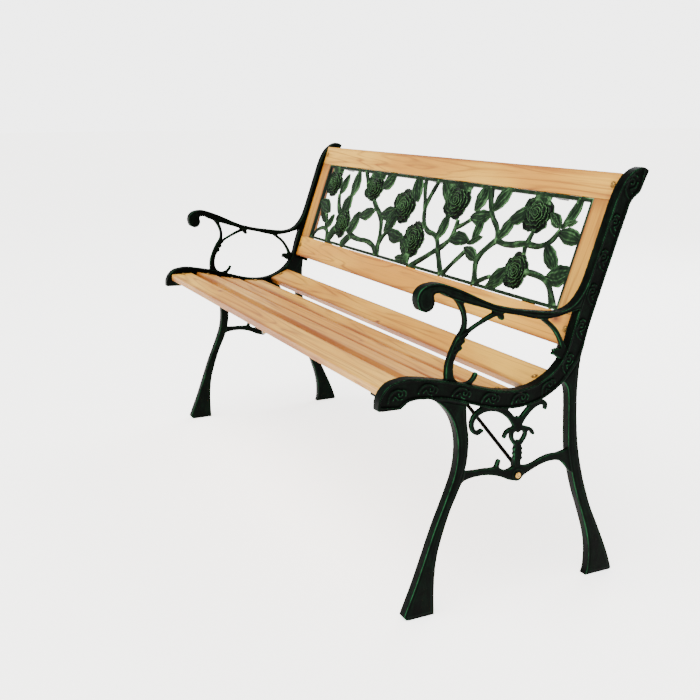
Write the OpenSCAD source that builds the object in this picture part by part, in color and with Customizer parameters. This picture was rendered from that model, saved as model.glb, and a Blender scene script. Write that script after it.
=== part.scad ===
// Garden bench: two cast iron end frames carry five wooden seat slats and a
// reclined wooden back frame with a cast openwork rose panel.
// X runs along the bench, -Y is the front, Z is up, and the feet stand on Z = 0.

/* [Overall] */
// Length over the outer faces of the two end frames
bench_length = 1220; // [1000:10:1500]
// Height of the end frame's rim at the lowest point of the seat
seat_height = 371; // [330:1:450]

/* [End frames] */
// Thickness of the seat rail, back post and arm, along X
frame_t = 20; // [14:0.5:28]
// Thickness of the legs, along X
leg_t = 18; // [12:0.5:24]
// Inset of the legs' faces behind the seat rail's outer face
leg_inset = 1.5; // [0.5:0.5:2]
// Thickness of the open ornament, stretcher and arm branch, along X
ornament_t = 8; // [5:0.5:12]
// Thickness of the curved arm support, along X
support_t = 10; // [7:0.5:14]
// Inset of the ornament and arm support behind the frame's outer face
ornament_inset = 3; // [1:0.5:4]
// Width of the raised rim round the decorated field
rim_w = 3.5; // [2:0.5:6]
// Depth of the decorated field below the rim
field_depth = 3; // [1:0.5:5]
// Height of the scroll relief above the field
relief_h = 2; // [0.5:0.5:4]
// Width of the ledges that the slats and back rails are bolted to
ledge_w = 40; // [30:1:46]
// Thickness of the ledges
ledge_t = 5; // [3:0.5:8]

/* [Seat] */
// Width of a slat
slat_w = 55; // [46:0.5:60]
// Thickness of a slat
slat_t = 15; // [11:0.5:20]
// Radius of the slats' long upper edges
slat_round = 3; // [1:0.5:5]
// Gap between a slat or rail end and the end frame
end_gap = 1; // [0.5:0.5:3]

/* [Back] */
// Thickness of the rails and stiles
back_t = 16; // [12:0.5:20]
// Height of the top rail
top_rail_h = 47; // [40:1:47]
// Height of the bottom rail
bottom_rail_h = 54; // [44:1:65]
// Width of the stiles
stile_w = 48; // [38:1:60]
// Diameter of the dowels that join stiles to rails
dowel_d = 8; // [6:0.5:10]
// Length of the dowels
dowel_l = 40; // [30:1:60]

/* [Rose panel] */
// Gap between the panel and the wooden opening
panel_gap = 1; // [0.5:0.5:3]
// Thickness of the panel's rim
panel_t = 8; // [6:0.5:11]
// Width of the panel's rim
panel_rim = 7; // [5:0.5:10]
// Thickness of the stems
stem_t = 6; // [4:0.5:8]
// Thickness of the leaves
leaf_t = 4.5; // [3:0.5:6]
// Diameter of the screws that hold the panel's lugs
panel_screw_d = 4; // [3:0.5:5]

/* [Fasteners] */
// Diameter of the bolts through the slats and back rails
bolt_d = 5; // [4:0.5:6]
// Diameter of the bolts that hold the tie rods
rod_bolt_d = 7; // [5:0.5:8]
// Diameter of the tie rods
rod_d = 7; // [5:0.5:9]
// Clearance between a bolt or dowel and its hole
hole_gap = 0.25; // [0.1:0.05:0.5]
// Distance of the slat and rail bolts from the end frame's inner face
bolt_inset = 12; // [10:0.5:14]

/* [Hidden] */

// Lean of the cast back posts, in degrees from upright
recline = 19.65;

iron = "#1b2a22";
patina = "#33493b";
pine = "#d9b27c";
brass = "#a98a4e";
steel = "#6b6458";

half_l = bench_length / 2;
inner_x = half_l - frame_t;
curve_steps = 4;
cast_overlap = 2;

// The profile lists below are [y, z, ...] at the base seat height. Heights under under_ref
// stretch with the seat height, and the rest moves up as one.
base_seat_height = 371;
under_ref = 335;
rise = seat_height - base_seat_height;
// Moves the profile along Y, so that the bench is centred on the origin
centring = -3.5;
function lift(z) = z < under_ref ? z * (under_ref + rise) / under_ref : z + rise;
function place(q) = [for (i = [0 : len(q) - 1]) i == 0 ? q[0] + centring
    : i == 1 ? lift(q[1]) : q[i]];
function place_all(p) = [for (q = p) place(q)];

// ---- outlines -------------------------------------------------------------

function spline_point(a, b, c, d, t) = 0.5 * (2 * b + (c - a) * t
    + (2 * a - 5 * b + 4 * c - d) * t * t + (3 * b - a - 3 * c + d) * t * t * t);
function smooth(p, n = curve_steps) = concat(
    [for (i = [0 : len(p) - 2], k = [0 : n - 1]) spline_point(p[max(i - 1, 0)], p[i], p[i + 1],
        p[min(i + 2, len(p) - 1)], k / n)], [p[len(p) - 1]]);
function reversed(p) = [for (i = [len(p) - 1 : -1 : 0]) p[i]];
function flat_point(q) = [q[0], q[1]];
function side_of(p, i) = let (a = flat_point(p[max(i - 1, 0)]),
    b = flat_point(p[min(i + 1, len(p) - 1)]), d = (b - a) / norm(b - a)) [-d[1], d[0]];
function shifted(p, dist) = [for (i = [0 : len(p) - 1]) flat_point(p[i]) + side_of(p, i) * dist];

// A ribbon follows points of [across, up, width] and ends in half circles.
function cap(p, i, turn) = let (s = side_of(p, i) * turn, f = [s[1], -s[0]], r = p[i][2] / 2)
    [for (a = [45 : 45 : 135]) flat_point(p[i]) + r * (s * cos(a) + f * sin(a))];
function ribbon(points, n = curve_steps) = let (p = smooth(points, n), m = len(p) - 1) concat(
    [for (i = [0 : m]) flat_point(p[i]) + side_of(p, i) * p[i][2] / 2], cap(p, m, 1),
    [for (i = [m : -1 : 0]) flat_point(p[i]) - side_of(p, i) * p[i][2] / 2], cap(p, 0, -1));

// ---- end frame profile: points are [y, z], or [y, z, width] for ribbons ----

back_y = 175 + centring;
back_z = 600 + rise;

// Top and front edge of the seat rail and back post, from the front tip to the post's tip
rail_upper = place_all([[-250, 369], [-249, 384], [-242, 399], [-229, 410], [-211, 414.5],
    [-188, 415], [-150, 408], [-105, 397.5], [-60, 383.5], [-24, 374], [10, 370.5], [40, 374],
    [65, 384], [85, 398], [100, 416], [109, 436], [115, 457], [129, 500], [147, 550],
    [165, 600], [181, 645], [191, 672], [205, 699], [223, 717], [243, 724], [257, 718]]);
// Bottom and rear edge of the same band
rail_lower = place_all([[-212, 367.5], [-205, 372], [-195, 378], [-175, 379], [-150, 376],
    [-127, 372], [-100, 364], [-70, 354], [-40, 345], [-10, 340.5], [20, 340], [50, 345],
    [76, 356], [97, 370], [114, 388], [128, 406], [138, 425], [144, 447], [152, 474],
    [179, 550], [197, 600], [216, 652], [222, 667], [232, 677], [241, 684], [249, 702]]);
front_leg_front = place_all([[-158, 377], [-138, 365.5], [-119, 343], [-108, 316], [-104, 284],
    [-109, 244], [-125, 201], [-145, 154], [-162, 108], [-179, 62], [-194, 26], [-202, 7]]);
front_leg_rear = place_all([[-90, 366], [-88, 332], [-84, 300], [-86, 262], [-97, 222],
    [-115, 183], [-131, 138], [-141, 98], [-145, 50], [-144, 0]]);
rear_leg_front = place_all([[98, 376], [110, 361], [114, 340], [116, 300], [119, 250],
    [127, 211], [140, 166], [155, 125], [168, 86], [175, 50], [175, 15], [171, 0]]);
rear_leg_rear = place_all([[142, 440], [134, 396], [132, 350], [134, 300], [140, 250],
    [150, 205], [160, 172], [175, 131], [190, 99], [210, 55], [222, 25], [229, 3]]);
// Rounded toes between the two edges of each leg
toe_front = place_all([[-197, 1], [-192, 0]]);
toe_rear = place_all([[226, 0]]);
arm_top = place_all([[-167, 517], [-178, 522], [-183, 535], [-181, 548], [-172, 557],
    [-158, 561], [-138, 560], [-108, 549], [-87, 539.5], [-62, 527.5], [-37, 517], [-11, 509.5],
    [14, 504], [39, 500], [60, 496.5], [80, 494.5], [97, 496], [111, 501], [122, 509],
    [132, 521], [140, 534], [152, 560]]);
arm_bottom = place_all([[-167, 517], [-157, 521], [-152, 531], [-153, 544], [-140, 544.5],
    [-126, 537], [-100, 527], [-80, 520], [-60, 513.5], [-40, 506.5], [-15, 500.5], [5, 496],
    [30, 489], [50, 485], [72, 485], [90, 487], [112, 492], [140, 497]]);
support = place_all([[-126, 548, 12], [-111, 536, 10], [-101, 521, 8], [-95, 505, 7],
    [-94, 491, 7], [-97, 479, 9], [-104, 466, 13], [-111, 453, 13], [-117, 441, 12],
    [-121, 428, 13], [-122, 415, 14], [-120, 402, 17], [-114, 391, 24]]);
support_rings = place_all([[-98, 472], [-103.5, 461.5], [-109, 451]]);
ring_angle = 28;
ring_w = 20;
ring_h = 8;
branch = place_all([[-96, 473, 6], [-84, 481, 6], [-73, 487, 6], [-62, 492, 6.5],
    [-51, 497, 7], [-40, 501, 7.5], [-30, 503, 8]]);
branch_hook = place_all([[-34, 504, 9], [-28, 499, 10], [-25, 494.5, 9]]);
base_hook = place_all([[-104, 391, 7], [-93, 391.5, 7], [-83, 394, 7], [-76, 399.5, 7],
    [-72, 406.5, 7]]);
brace = place_all([[46, 494, 9], [54, 487, 8], [64, 479, 7.5], [75, 470, 7.5], [84, 460, 7.5],
    [92, 447, 7.5], [98, 434, 9], [102, 422, 12]]);
leaf_hook = place_all([[104, 418, 16], [93, 421, 15], [85, 423.5, 10], [78, 423, 4]]);
leaf_spur = place_all([[93, 426, 8], [86, 429, 5], [79, 429, 3]]);
stretcher_top = place_all([[-98, 246], [-80, 243], [-60, 242], [-40, 241], [-24, 240], [-8, 232],
    [14, 238], [32, 234], [46, 236], [62, 242], [80, 246], [98, 246], [124, 251]]);
stretcher_bottom = place_all([[-108, 205], [-93, 225], [-78, 229.5], [-58, 230.5], [-38, 228],
    [-19, 222], [-3, 214], [11, 210.5], [22, 214], [40, 222], [60, 229.5], [82, 233.5],
    [100, 231], [112, 222], [126, 205]]);
stretcher_hook = place_all([[-26, 236, 9], [-25, 244, 7.5], [-22.5, 250, 7.5]]);
stem_profile = place_all([[14, 232, 16], [14, 245, 14], [15, 250, 19], [15, 254, 15],
    [15, 258, 19], [15, 262, 15], [15, 266, 19], [15, 270, 14], [15, 276, 12]]);
heart_left = place_all([[15, 271, 8], [8, 278, 7], [2, 288, 7], [3, 297, 7], [9, 301, 7],
    [14, 298, 7]]);
heart_right = place_all([[15, 271, 8], [22, 278, 7], [29, 288, 7], [28, 297, 7], [20, 301, 7],
    [14, 298, 7]]);
heart_curl_left = place_all([[10, 303, 8], [-1, 302, 7], [-9, 298, 7], [-13, 291, 6]]);
heart_curl_right = place_all([[20, 303, 8], [31, 300, 7], [40, 296, 7], [45, 289, 6]]);
arch_left = place_all([[-58, 309, 7], [-67, 306, 8], [-75, 313, 8], [-77, 324, 8],
    [-72, 335, 9], [-62, 342, 10], [-48, 346, 12], [-30, 344, 13], [-13, 335, 12],
    [0, 323, 11], [10, 310, 13]]);
arch_right = place_all([[16, 310, 12], [25, 322, 11], [36, 333, 11], [48, 341, 12],
    [60, 342, 10], [68, 337, 8], [68, 330, 6]]);
joint_block = place_all([[13, 304, 16], [13, 312, 20], [13, 318, 12]]);
boss = place([15, 220]);
boss_r = 11;

// Scroll motifs on the band: [y, z, direction in degrees, size]
motifs = place_all([[-216, 391, 8, 1], [-160, 393, -12, 1], [-98, 379, -18, 1],
    [-43, 363, -12, 1], [15, 355.5, 0, 1], [70, 368, 34, 1], [108, 405, 56, 1],
    [132, 461, 70, 1], [152, 519, 70, 1], [171, 575, 70, 1], [191, 632, 70, 1],
    [222, 694, 66, 1.25]]);
motif_strokes = [
    [[-18, -8, 1.5], [-15, 0, 2.2], [-8, 7, 2.6], [1, 8, 2.4], [8, 5, 2], [8, -1, 2], [3, -2, 2],
        [2, 2, 1.6]],
    [[-9, -6, 1.5], [-5, -1, 2.2], [0, -7, 2.2], [7, -8, 1.5]],
    [[11, 6, 1.5], [15, 2, 2.4], [14, -4, 1.5]]];

// ---- seat and back layout ---------------------------------------------------

// Each slat: front upper corner [y, z] and its slope in degrees
slat_places = place_all([[-236, 400, 0], [-168, 401, -13.5], [-104, 384, -11], [-38, 370, -5.6],
    [38, 369, 22]]);
slat_count = len(slat_places);
function slat_axis(i) = [cos(slat_places[i][2]), sin(slat_places[i][2])];
function slat_down(i) = [sin(slat_places[i][2]), -cos(slat_places[i][2])];
function slat_spot(i, along, down) = flat_point(slat_places[i]) + slat_axis(i) * along
    + slat_down(i) * down;

// The back is laid out in its own plane: x, up from back_z, and depth behind its front face.
opening_top = 74;
opening_h = 203;
opening_bottom = opening_top - opening_h;
opening_mid = (opening_top + opening_bottom) / 2;
wood_end = inner_x - end_gap;
opening_half = wood_end - stile_w;
board_x = inner_x - bolt_inset;
rail_bolt_up = [opening_top + 26, opening_bottom - 25];

// The rose panel is drawn for a panel of this size and stretched to fit the opening.
drawn_half_w = 540;
drawn_half_h = 100.5;
panel_half_w = opening_half - panel_gap;
panel_half_h = opening_h / 2 - panel_gap;
function stretch(p) = [for (q = p) [q[0] * panel_half_w / drawn_half_w,
    q[1] * panel_half_h / drawn_half_h]];

// Stems: points of [across, up, width] from the panel's centre
stems = [
    [[227, 98, 12], [235, 76, 11], [248, 54, 10], [265, 36, 9], [283, 23, 9], [293, 10, 9],
        [298, -3, 10]],
    [[298, -3, 10], [322, -7, 9], [348, -6, 9], [373, -1, 10], [394, 1, 10], [424, 1, 8],
        [449, 8, 8], [465, 21, 8], [475, 38, 6]],
    [[298, -3, 10], [277, -19, 10], [260, -36, 11], [253, -54, 11], [259, -74, 11],
        [270, -98, 16]],
    [[394, 1, 10], [398, 16, 8], [402, 30, 8]],
    [[391, -4, 8], [396, -20, 7]],
    [[417, -49, 8], [443, -49, 9], [468, -52, 9], [489, -60, 9], [505, -76, 9], [521, -98, 14]],
    [[270, -96, 9], [292, -83, 8], [313, -74, 6]],
    [[141, -98, 14], [118, -69, 10], [101, -49, 10], [88, -30, 10], [68, -19, 9], [43, -16, 9],
        [22, -6, 9], [7, 11, 9], [0, 31, 9], [3, 51, 9], [11, 71, 9], [24, 98, 9]],
    [[-33, 98, 9], [-24, 72, 8], [-12, 51, 8], [-1, 30, 8]],
    [[10, -98, 10], [42, -81, 9], [72, -64, 9], [98, -49, 10], [122, -34, 9], [137, -19, 8],
        [142, 1, 8], [143, 22, 8]],
    [[142, 4, 8], [167, 14, 7], [190, 27, 7]],
    [[146, -97, 10], [167, -73, 8], [187, -54, 8], [204, -38, 7]],
    [[-440, 28, 10], [-425, 1, 11], [-405, -20, 11], [-388, -30, 9]],
    [[-328, 97, 9], [-314, 82, 8], [-300, 66, 8]],
    [[-244, 28, 9], [-224, 15, 11], [-204, 4, 11], [-188, -6, 11], [-174, -24, 10],
        [-164, -49, 10], [-159, -74, 12], [-155, -98, 22]],
    [[-158, -70, 9], [-148, -49, 8], [-132, -37, 8], [-108, -33, 7]],
    [[-340, -54, 9], [-309, -66, 10], [-268, -71, 9], [-229, -70, 9], [-204, -72, 9],
        [-179, -79, 9], [-160, -94, 10]],
    [[-349, -96, 16], [-329, -80, 18], [-308, -69, 12]],
    [[-529, -96, 6], [-510, -77, 6], [-489, -68, 7], [-469, -66, 7], [-449, -72, 8],
        [-439, -92, 8]],
    [[-464, -64, 7], [-468, -49, 9], [-480, -30, 9]],
    [[-430, -96, 20], [-419, -75, 22], [-402, -58, 18]],
    [[-14, -98, 20], [-15, -74, 18]],
    [[-364, 98, 8], [-362, 84, 8]],
    [[-372, 34, 7], [-377, 24, 7]],
    [[505, 98, 10], [500, 88, 9]],
    [[-487, 98, 40], [-487, 84, 40]],
    [[-258, 98, 50], [-258, 82, 50]],
    [[117, 98, 60], [117, 82, 60]],
    [[400, 98, 34], [398, 82, 40]]];

// Leaves: [across, up, length, width, direction in degrees]
leaves = [
    [456, 53, 44, 20, -32], [508, 29, 70, 26, -6], [475, -13, 64, 26, -40],
    [511, -39, 66, 34, 18], [494, 71, 68, 20, 62], [497, 53, 34, 11, 15],
    [318, 22, 58, 24, 52], [344, 52, 66, 26, 28], [340, -72, 66, 28, 42], [334, -88, 56, 18, 24],
    [276, 77, 66, 28, 50], [205, 72, 58, 32, 66], [220, 38, 68, 28, 10], [227, 8, 56, 20, 76],
    [227, -13, 46, 12, 28], [226, -41, 60, 22, -18], [168, -20, 76, 26, 4], [93, 1, 60, 26, 68],
    [66, 76, 62, 26, -44], [-93, -39, 76, 28, -4], [-158, 8, 64, 28, 18], [-132, -10, 66, 34, 58],
    [-38, -62, 56, 26, -34], [-36, -87, 54, 17, 5], [-53, 74, 66, 34, -66], [-196, 82, 60, 34, 40],
    [-310, -36, 66, 32, 68], [-260, -3, 76, 26, 16], [-366, 61, 70, 34, 84],
    [-376, 4, 62, 36, 74], [-426, 56, 58, 26, 68], [-500, -10, 74, 30, -18],
    [-492, -31, 66, 17, -38], [-448, -45, 48, 20, 52]];
stem_steps = 2;
leaf_points = 6;
// A leaf's edge is a sine arch on each side of its midrib.
function leaf(l) = let (c = cos(l[4]), s = sin(l[4])) [for (side = [1, -1],
    i = [0 : leaf_points - 1]) let (t = side > 0 ? i / leaf_points : 1 - i / leaf_points,
    u = (t - 0.5) * l[2], v = side * l[3] / 2 * sin(180 * t))
    [l[0] + u * c - v * s, l[1] + u * s + v * c]];

// Roses: [across, up, width, height]
roses = [[-487, 56, 76, 68], [-375, -40, 72, 74], [-261, 61, 84, 66], [-93, 28, 92, 76],
    [-8, -40, 80, 76], [117, 61, 90, 78], [397, 61, 80, 72], [388, -52, 66, 66]];
rose_points = 24;
rose_lobes = 5;
// Each layer of petals: share of the rose's size, how proud of the panel, turn in degrees
rose_layers = [[1, 0.5, 0], [0.72, 2.5, 36], [0.45, 4, 10]];
function rose_outline(r, share, turn) = [for (i = [0 : rose_points - 1])
    let (a = 360 * i / rose_points, k = share * (1 + 0.07 * cos(rose_lobes * (a - turn))))
    [r[0] + r[2] / 2 * k * cos(a), r[1] + r[3] / 2 * k * sin(a)]];

lug_x = [-440, 0, 440];
lug_w = 26;
lug_reach = 20;
lug_t = 3;

// ---- fastener sizes -----------------------------------------------------------

washer_r = bolt_d * 1.15;
washer_t = 1.2;
head_r = bolt_d * 0.8;
head_t = 2.2;
nut_af = bolt_d * 1.7;
nut_t = bolt_d * 0.8;
hex_to_corner = 1 / cos(30);
bolt_tail = 2;
fine = 48;

// Tie rods: from the stretcher's boss to the underside of the fourth slat
rod_slat = 3;
rod_end_x = half_l - 270;
tab_r = 8;
tab_t = 4;
tab_reach = 16;
seat_gap = 0.5;
rod_head_t = 1.5;
rod_nut_t = 6;
rod_bolt_l = ornament_t + 2 + tab_t + rod_nut_t + bolt_tail;
rod_screw_d = 4;
rod_screw_head_t = 2;
rod_screw_l = 9;
rod_top = slat_spot(rod_slat, slat_w - 8, slat_t);

// ---- helpers ------------------------------------------------------------------

// Extrudes a [y, z] outline along X from x0 by t.
module slab(points, x0, t) {
    translate([x0, 0, 0])
        rotate([90, 0, 90])
            linear_extrude(t)
                polygon(points);
}

// Mirrors its children to the left end as well.
module both_ends() {
    children();
    mirror([1, 0, 0]) children();
}

// Places children in the back's own plane.
module on_back() {
    translate([0, back_y, back_z])
        rotate([-recline, 0, 0])
            children();
}

// Extrudes an [x, up] outline from depth d0 to d1 behind the back's front face.
module back_plate(points, d0, d1) {
    translate([0, d1, 0])
        rotate([90, 0, 0])
            linear_extrude(d1 - d0)
                polygon(points);
}

function rect(x0, x1, z0, z1) = [[x0, z0], [x1, z0], [x1, z1], [x0, z1]];

// A bolt's place on slat i: its head side is along the slat's upward normal.
module at_slat(i, x, along, down) {
    p = slat_spot(i, along, down);
    translate([x, p[0], p[1]])
        rotate([slat_places[i][2], 0, 0])
            children();
}

// A bolt's place on a back rail: local Z points out of the front face.
module at_rail(x, up, depth) {
    on_back()
        translate([x, depth, up])
            rotate([90, 0, 0])
                children();
}

// ---- end frames ---------------------------------------------------------------

module motif(m) {
    translate([half_l - field_depth - 0.5, m[0], m[1]])
        rotate([m[2], 0, 0])
            for (s = motif_strokes)
                slab(ribbon([for (q = s) q * m[3]], 2), 0, relief_h + 0.5);
}

module seat_band() {
    slab(concat(smooth(rail_upper), reversed(smooth(rail_lower))), inner_x, frame_t);
}

// The recessed field leaves a rim along both edges of the band.
module band_field() {
    upper = shifted(smooth(rail_upper), -rim_w);
    lower = shifted(smooth(rail_lower), rim_w);
    slab(concat([for (i = [2 : len(upper) - 4]) upper[i]],
        [for (i = [len(lower) - 3 : -1 : 1]) lower[i]]), half_l - field_depth, field_depth + 1);
}

module legs() {
    leg_x = half_l - leg_inset - leg_t;
    slab(concat(smooth(front_leg_front), toe_front, reversed(smooth(front_leg_rear))), leg_x,
        leg_t);
    slab(concat(smooth(rear_leg_front), toe_rear, reversed(smooth(rear_leg_rear))), leg_x, leg_t);
}

module arm() {
    slab(concat(smooth(arm_top), reversed(smooth(arm_bottom))), inner_x, frame_t);
}

module arm_support() {
    support_x = half_l - ornament_inset - support_t;
    slab(ribbon(support), support_x, support_t);
    for (r = support_rings)
        translate([support_x - 1, r[0], r[1]])
            rotate([ring_angle, 0, 0])
                slab(ribbon([[-ring_w / 2 + ring_h / 2, 0, ring_h],
                    [ring_w / 2 - ring_h / 2, 0, ring_h]], 1), 0, support_t + 2);
    for (p = [branch, branch_hook, base_hook, brace, leaf_hook, leaf_spur])
        slab(ribbon(p), half_l - ornament_inset - ornament_t, ornament_t);
}

module under_seat_ornament() {
    ornament_x = half_l - ornament_inset - ornament_t;
    slab(concat(smooth(stretcher_top), reversed(smooth(stretcher_bottom))), ornament_x,
        ornament_t);
    for (p = [stretcher_hook, stem_profile, heart_left, heart_right, heart_curl_left,
        heart_curl_right, arch_left, arch_right, joint_block])
        slab(ribbon(p, 3), ornament_x, ornament_t);
    translate([ornament_x - 1, boss[0], boss[1]])
        rotate([0, 90, 0])
            cylinder(h = ornament_t + 2, r = boss_r, $fn = fine);
}

// The ledge follows the undersides of the slats.
ledge_top = [for (i = [0 : slat_count - 1], a = [2, slat_w - 1]) slat_spot(i, a, slat_t)];
module seat_ledge() {
    under = [for (p = reversed(ledge_top)) p - [0, ledge_t]];
    slab(concat(ledge_top, under), inner_x - ledge_w, ledge_w + cast_overlap);
}

module back_ledge() {
    on_back()
        back_plate(rect(inner_x - ledge_w, inner_x + cast_overlap,
            opening_bottom - bottom_rail_h - 8, opening_top + top_rail_h - 4), back_t,
            back_t + ledge_t);
}

module end_frame_holes() {
    for (i = [0 : slat_count - 1])
        at_slat(i, board_x, slat_w / 2, slat_t + ledge_t * 2)
            cylinder(h = ledge_t * 4, r = bolt_d / 2 + hole_gap, $fn = fine);
    for (up = rail_bolt_up)
        at_rail(board_x, up, back_t + ledge_t + 1)
            cylinder(h = ledge_t + 2, r = bolt_d / 2 + hole_gap, $fn = fine);
    translate([half_l - ornament_inset - ornament_t - 2, boss[0], boss[1]])
        rotate([0, 90, 0])
            cylinder(h = ornament_t + 4, r = rod_bolt_d / 2 + hole_gap, $fn = fine);
}

module end_frame() {
    color(iron)
        difference() {
            union() {
                difference() {
                    union() {
                        seat_band();
                        legs();
                        arm();
                    }
                    band_field();
                }
                for (m = motifs) motif(m);
                arm_support();
                under_seat_ornament();
                seat_ledge();
                back_ledge();
            }
            end_frame_holes();
        }
}

module end_frame_right() {
    end_frame();
}

module end_frame_left() {
    mirror([1, 0, 0]) end_frame();
}

// ---- seat -----------------------------------------------------------------------

function corner(cy, cz, from, to) = [for (a = [from : (to - from) / 3 : to])
    [cy + slat_round * cos(a), cz + slat_round * sin(a)]];

module seat_slat(i) {
    color(pine)
        difference() {
            at_slat(i, 0, 0, 0)
                slab(concat([[0, -slat_t], [slat_w, -slat_t]],
                    corner(slat_w - slat_round, -slat_round, 0, 90),
                    corner(slat_round, -slat_round, 90, 180)), -wood_end, wood_end * 2);
            both_ends()
                at_slat(i, board_x, slat_w / 2, slat_t + 1)
                    cylinder(h = slat_t + 2, r = bolt_d / 2 + hole_gap, $fn = fine);
            if (i == rod_slat)
                both_ends()
                    translate([rod_end_x, rod_top[0], rod_top[1] - 2])
                        cylinder(h = rod_screw_l + 2.5, r = rod_screw_d / 2, $fn = fine);
        }
}

module seat_slat_1() { seat_slat(0); }
module seat_slat_2() { seat_slat(1); }
module seat_slat_3() { seat_slat(2); }
module seat_slat_4() { seat_slat(3); }
module seat_slat_5() { seat_slat(4); }

// ---- back -----------------------------------------------------------------------

stile_mid = wood_end - stile_w / 2;
dowel_rows = [opening_top, opening_bottom];

module dowels(r, l) {
    both_ends()
        on_back()
            for (up = dowel_rows)
                translate([stile_mid, back_t / 2, up - l / 2])
                    cylinder(h = l, r = r, $fn = fine);
}

module panel_screw_holes(extra, proud = 0) {
    on_back()
        for (x = lug_x, top = [1, -1])
            translate([x * panel_half_w / drawn_half_w, back_t + lug_t + proud,
                opening_mid + top * (opening_h / 2 + lug_reach / 2)])
                rotate([90, 0, 0])
                    cylinder(h = lug_t + 9 + proud, r = panel_screw_d / 2 + extra, $fn = fine);
}

module back_rail(z0, z1, bolt_up) {
    color(pine)
        difference() {
            on_back()
                back_plate(rect(-wood_end, wood_end, z0, z1), 0, back_t);
            both_ends()
                at_rail(board_x, bolt_up, back_t + 1)
                    cylinder(h = back_t + 2, r = bolt_d / 2 + hole_gap, $fn = fine);
            dowels(dowel_d / 2 + hole_gap, dowel_l + 1);
            panel_screw_holes(0);
        }
}

module back_top_rail() {
    back_rail(opening_top, opening_top + top_rail_h, rail_bolt_up[0]);
}

module back_bottom_rail() {
    back_rail(opening_bottom - bottom_rail_h, opening_bottom, rail_bolt_up[1]);
}

module back_stile_right() {
    color(pine)
        difference() {
            on_back()
                back_plate(rect(opening_half, wood_end, opening_bottom, opening_top), 0, back_t);
            dowels(dowel_d / 2 + hole_gap, dowel_l + 1);
        }
}

module back_stile_left() {
    mirror([1, 0, 0]) back_stile_right();
}

module stile_dowels() {
    color(pine) dowels(dowel_d / 2, dowel_l);
}

// ---- rose panel -------------------------------------------------------------------

module rose(r) {
    for (k = rose_layers)
        back_plate(stretch(rose_outline(r, k[0], k[2])), -k[1], panel_t - 1);
}

module panel_lugs() {
    for (x = lug_x, top = [1, -1]) {
        mid = x * panel_half_w / drawn_half_w;
        edge = top * panel_half_h;
        tip = top * (opening_h / 2 + lug_reach);
        back_plate(rect(mid - lug_w / 2, mid + lug_w / 2, min(edge, tip), max(edge, tip)),
            back_t, back_t + lug_t);
        foot = edge - top * panel_rim;
        back_plate(rect(mid - lug_w / 2, mid + lug_w / 2, min(edge, foot), max(edge, foot)),
            panel_t - 1, back_t + lug_t);
    }
}

module rose_panel() {
    color(patina)
        difference() {
            on_back()
                translate([0, 0, opening_mid]) {
                    difference() {
                        back_plate(rect(-panel_half_w, panel_half_w, -panel_half_h, panel_half_h),
                            0, panel_t);
                        back_plate(rect(-panel_half_w + panel_rim, panel_half_w - panel_rim,
                            -panel_half_h + panel_rim, panel_half_h - panel_rim), -1, panel_t + 1);
                    }
                    for (s = stems)
                        back_plate(stretch(ribbon(s, stem_steps)), 1, 1 + stem_t);
                    for (l = leaves)
                        back_plate(stretch(leaf(l)), 0.5, 0.5 + leaf_t);
                    for (r = roses) rose(r);
                    panel_lugs();
                }
            panel_screw_holes(hole_gap);
        }
}

// ---- fasteners ----------------------------------------------------------------------

module bolt(d, length) {
    translate([0, 0, -length])
        cylinder(h = length + 0.5, r = d / 2, $fn = fine);
    intersection() {
        cylinder(h = head_t, r = head_r, $fn = fine);
        translate([0, 0, head_t - head_r * 1.6])
            sphere(r = head_r * 1.6, $fn = fine);
    }
}

module washer() {
    difference() {
        cylinder(h = washer_t, r = washer_r, $fn = fine);
        translate([0, 0, -1])
            cylinder(h = washer_t + 2, r = bolt_d / 2 + hole_gap, $fn = fine);
    }
}

module nut(d, across, t) {
    difference() {
        cylinder(h = t, r = across / 2 * hex_to_corner, $fn = 6);
        translate([0, 0, -1])
            cylinder(h = t + 2, r = d / 2 + hole_gap / 2, $fn = fine);
    }
}

module at_slat_bolts(down) {
    both_ends()
        for (i = [0 : slat_count - 1])
            at_slat(i, board_x, slat_w / 2, down[i])
                children();
}

module at_rail_bolts(depth) {
    both_ends()
        for (up = rail_bolt_up)
            at_rail(board_x, up, depth)
                children();
}

module seat_bolts() {
    color(brass)
        at_slat_bolts([for (i = [0 : slat_count - 1]) -washer_t])
            bolt(bolt_d, washer_t + slat_t + ledge_t + nut_t + bolt_tail);
}

module seat_washers() {
    color(brass)
        at_slat_bolts([for (i = [0 : slat_count - 1]) 0])
            washer();
}

module seat_nuts() {
    color(steel)
        at_slat_bolts([for (i = [0 : slat_count - 1]) slat_t + ledge_t * slat_axis(i)[0] + nut_t])
            nut(bolt_d, nut_af, nut_t);
}

module back_bolts() {
    color(brass)
        at_rail_bolts(-washer_t)
            bolt(bolt_d, washer_t + back_t + ledge_t + nut_t + bolt_tail);
}

module back_washers() {
    color(brass) at_rail_bolts(0) washer();
}

module back_nuts() {
    color(steel)
        at_rail_bolts(back_t + ledge_t + nut_t)
            nut(bolt_d, nut_af, nut_t);
}

module panel_screws() {
    color(steel) {
        panel_screw_holes(-0.1, 1);
        on_back()
            for (x = lug_x, top = [1, -1])
                translate([x * panel_half_w / drawn_half_w, back_t + lug_t + 2,
                    opening_mid + top * (opening_h / 2 + lug_reach / 2)])
                    rotate([90, 0, 0])
                        cylinder(h = 2, r = panel_screw_d, $fn = fine);
    }
}

// ---- tie rods -------------------------------------------------------------------------

// Each rod ends in a flat tab with an eye: one bolts to the boss, one screws under the slat.
boss_face = half_l - ornament_inset - ornament_t - 1;
rod_low = [boss_face - tab_t / 2, boss[0], boss[1] + tab_reach];
rod_high = [rod_end_x + tab_reach, rod_top[0], rod_top[1] - seat_gap - rod_d / 2];

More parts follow.
